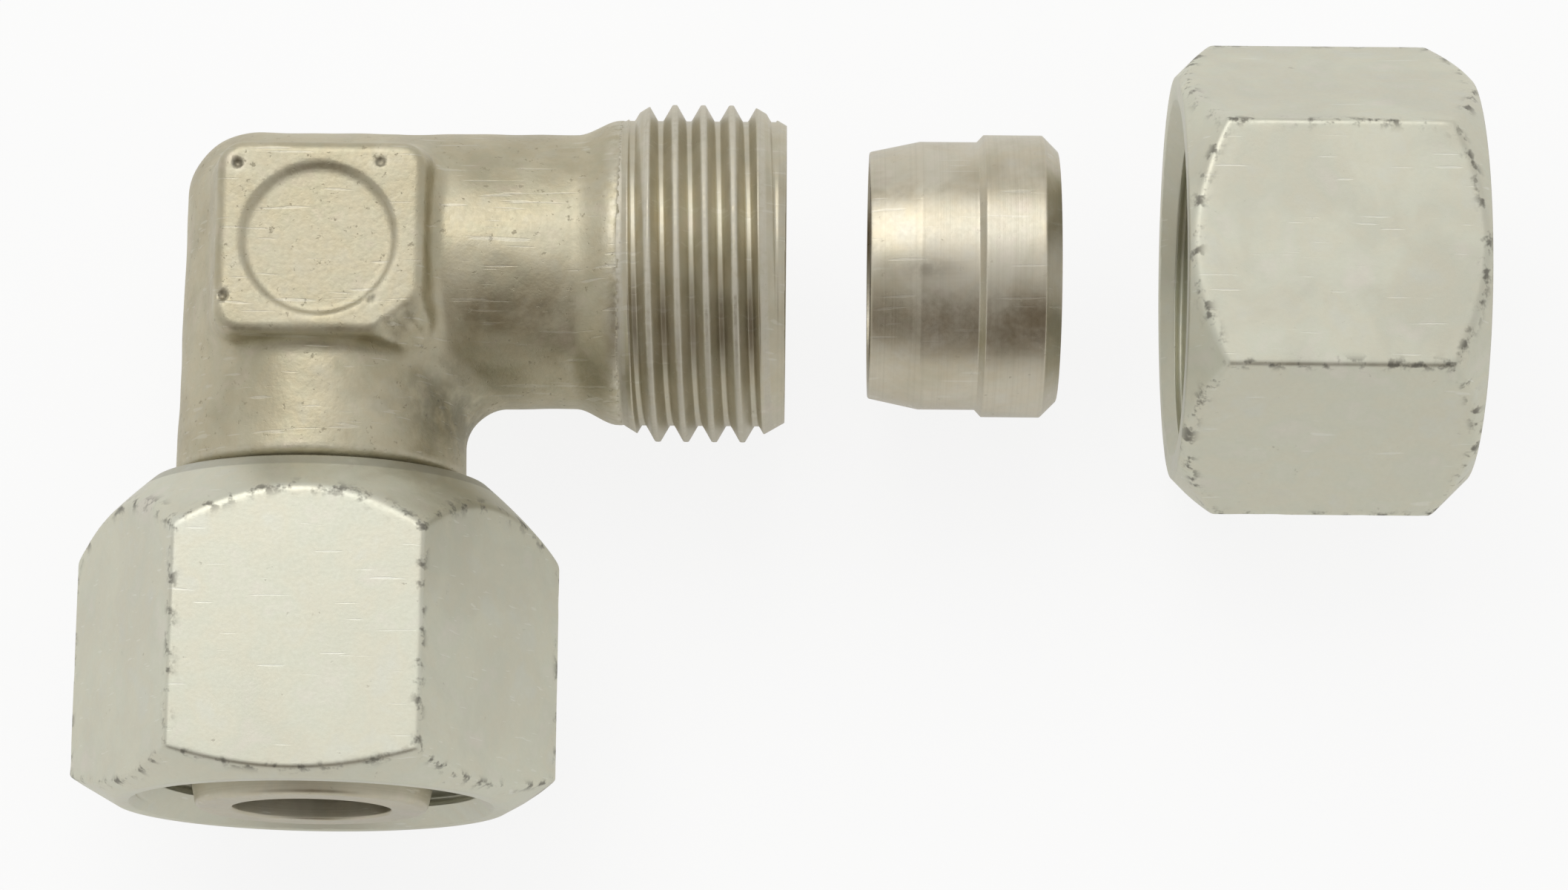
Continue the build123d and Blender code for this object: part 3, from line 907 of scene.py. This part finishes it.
unionPhase = thread["armCrestAt"] + union["slideIn"] - union["front"]
unionNut = makeNut("unionNut", union, unionOutline, unionInside, unionPhase)
unionNut.data.transform(Matrix.Translation((union["front"] * mm, 0, 0)))
print("nuts made,", len(swivelNut.data.polygons), "and", len(unionNut.data.polygons), "faces")

# Loose cutting ring between them, its nose towards the port
ring = {
    "front": 28.8, "length": 10.0, "bore": 6.05, "nose": 6.55, "body": 7.12, "bodyEnd": 5.7, "step": 0.35,
    "collar": 7.5, "rear": 6.65, "edgeAt": 0.35, "secondEdge": 1.7, "groove": 0.25, "coneAngle": 12.0,
    "columns": 192, "darkPatchAt": (31.7, -1.4), "darkPatchSpread": 0.35,
}


def makeCuttingRing():
    noseEnd = (ring["body"] - ring["nose"]) / math.tan(math.radians(ring["coneAngle"]))
    chamfer = ring["collar"] - ring["rear"]
    floor = ring["bore"] + ring["groove"]
    corners = [
        (0, ring["bore"], 0.04),
        (0, ring["nose"], 0.15),
        (noseEnd, ring["body"], 0.5),
        (ring["bodyEnd"], ring["body"], 0.12),
        (ring["bodyEnd"] + ring["step"], ring["collar"], 0.12),
        (ring["length"] - chamfer, ring["collar"], 0.12),
        (ring["length"], ring["rear"], 0.12),
        (ring["length"], ring["bore"], 0.12),
        (ring["secondEdge"], ring["bore"], 0.02),
        (ring["secondEdge"] - ring["groove"], floor, 0.05),
        (ring["edgeAt"] + ring["groove"], floor, 0.05),
        (ring["edgeAt"], ring["bore"], 0.02),
    ]
    section = softened(corners, closed=True)
    section[:, 0] += ring["front"]
    points, quads = turnedMesh(section, columnAngles(ring["columns"]))
    made = makeObject("cuttingRing", points, quads, ringZinc)
    # painted reflection: a dark patch on the ring's top only, just off its crest towards -Y
    x, y, z = points.T
    sx, sy = ring["darkPatchAt"]
    mark(made, "smudge", np.exp(-((x - sx) ** 2 + (y - sy) ** 2) / ring["darkPatchSpread"]) * (z > 0))
    return made


cuttingRing = makeCuttingRing()

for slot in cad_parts["o_ring"].material_slots:
    slot.material = rubber

for piece, body, node, slotName in (
    (elbowForging, "elbow", "elbow_body", "forged_zinc"),
    (portThread, "elbow", "elbow_body", "forged_zinc"),
    (sealingCone, "elbow", "elbow_body", "forged_zinc"),
    (swivelNut, "swivel_nut", "swivel_nut", "nut_zinc"),
    (unionNut, "union_nut", "union_nut", "nut_zinc"),
    (cuttingRing, "cutting_ring", "cutting_ring", "ring_zinc"),
):
    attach(piece, body)
    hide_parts(node)
print("pieces placed")


# Table, light and camera
floorLook = {
    "height": -11.42, "half": 900.0, "colour": "f2f2f0", "paper": "f7f7f5", "paperScale": 300.0,
    "shadowShare": 0.14, "glossShare": 0.5,            # shaded paper that the camera sees, white that metal mirrors
}


def makeFloor():
    half, z = floorLook["half"], floorLook["height"]
    points = [(-half, -half, z), (half, -half, z), (half, half, z), (-half, half, z)]
    material, g = newMaterial("paleFloor")
    rays = g.node("ShaderNodeLightPath")
    place = g.node("ShaderNodeTexCoord")["Object"]
    values = {"Vector": place, "Scale": floorLook["paperScale"], "Detail": 4.0}
    fibres = g.node("ShaderNodeTexNoise", {}, values)["Fac"]
    colour = g.blend(fibres, paint(floorLook["colour"]), paint(floorLook["paper"]))
    matt = g.node("ShaderNodeBsdfDiffuse", {}, {"Color": colour})["BSDF"]
    white = g.node("ShaderNodeEmission", {}, {"Color": (1, 1, 1, 1), "Strength": 1.0})["Emission"]
    direct = g.calc("MAXIMUM", rays["Is Camera Ray"], rays["Is Transmission Ray"])
    share = g.calc("MAXIMUM", direct * (1 - floorLook["shadowShare"]), rays["Is Glossy Ray"] * floorLook["glossShare"])
    mixed = g.node("ShaderNodeMixShader", {}, {0: share, 1: matt, 2: white})["Shader"]
    g.node("ShaderNodeOutputMaterial", {}, {"Surface": mixed})
    makeObject("tableTop", points, [(0, 1, 2, 3)], material)


# White to the camera; to the metal a bright dome with a dim lobe, which makes the dark bands of the photo
sky = {
    "bright": "ffffff", "dim": "6b5a45", "dimTowards": (0.0, -0.79, 0.61), "dimFrom": 0.72, "dimTo": 0.99,
    "strength": 0.72,
}


def makeWorld():
    world = bpy.data.worlds.new("studio")
    bpy.context.scene.world = world
    world.use_nodes = True
    world.node_tree.nodes.clear()
    g = Graph(world.node_tree)
    rays = g.node("ShaderNodeLightPath")
    ways = {0: g.node("ShaderNodeTexCoord")["Generated"], 1: sky["dimTowards"]}
    facing = g.node("ShaderNodeVectorMath", {"operation": "DOT_PRODUCT"}, ways)["Value"]
    dim = facing.between(sky["dimFrom"], sky["dimTo"])
    colour = g.blend(dim, paint(sky["bright"]), paint(sky["dim"]))
    lit = g.node("ShaderNodeBackground", {}, {"Color": colour, "Strength": sky["strength"]})["Background"]
    white = g.node("ShaderNodeBackground", {}, {"Color": (1, 1, 1, 1), "Strength": 1.0})["Background"]
    seen = g.calc("MAXIMUM", rays["Is Camera Ray"], rays["Is Transmission Ray"])
    mixed = g.node("ShaderNodeMixShader", {}, {0: seen, 1: lit, 2: white})["Shader"]
    g.node("ShaderNodeOutputWorld", {}, {"Surface": mixed})


softBox = {"at": (-90.0, 260.0, 420.0), "size": 380.0, "power": 0.8}      # a square lamp that looks at the origin


def makeLamp():
    light = bpy.data.lights.new("softBox", "AREA")
    light.shape = "SQUARE"
    light.size = softBox["size"] * mm
    light.energy = softBox["power"]
    lamp = bpy.data.objects.new("softBox", light)
    lamp.location = [v * mm for v in softBox["at"]]
    lamp.rotation_euler = (-lamp.location.normalized()).to_track_quat("-Z", "Y").to_euler()
    bpy.context.scene.collection.objects.link(lamp)


# The camera that fits the photograph's outlines, nearly straight above
camera = {"at": (25.29, -62.25, 249.22), "angles": (12.0, 0.2, 0.5), "lens": 110.64, "sensor": 36.0, "nearest": 10.0}


def makeCamera():
    data = bpy.data.cameras.new("camera")
    data.sensor_width = camera["sensor"]
    data.lens = camera["lens"]
    data.clip_start = camera["nearest"] * mm
    made = bpy.data.objects.new("camera", data)
    made.location = [v * mm for v in camera["at"]]
    made.rotation_mode = "ZYX"
    made.rotation_euler = Euler([math.radians(v) for v in camera["angles"]], "ZYX")
    bpy.context.scene.collection.objects.link(made)
    bpy.context.scene.camera = made


makeFloor()
makeWorld()
makeLamp()
makeCamera()
bpy.context.scene.view_settings.view_transform = "Standard"
print("scene made")
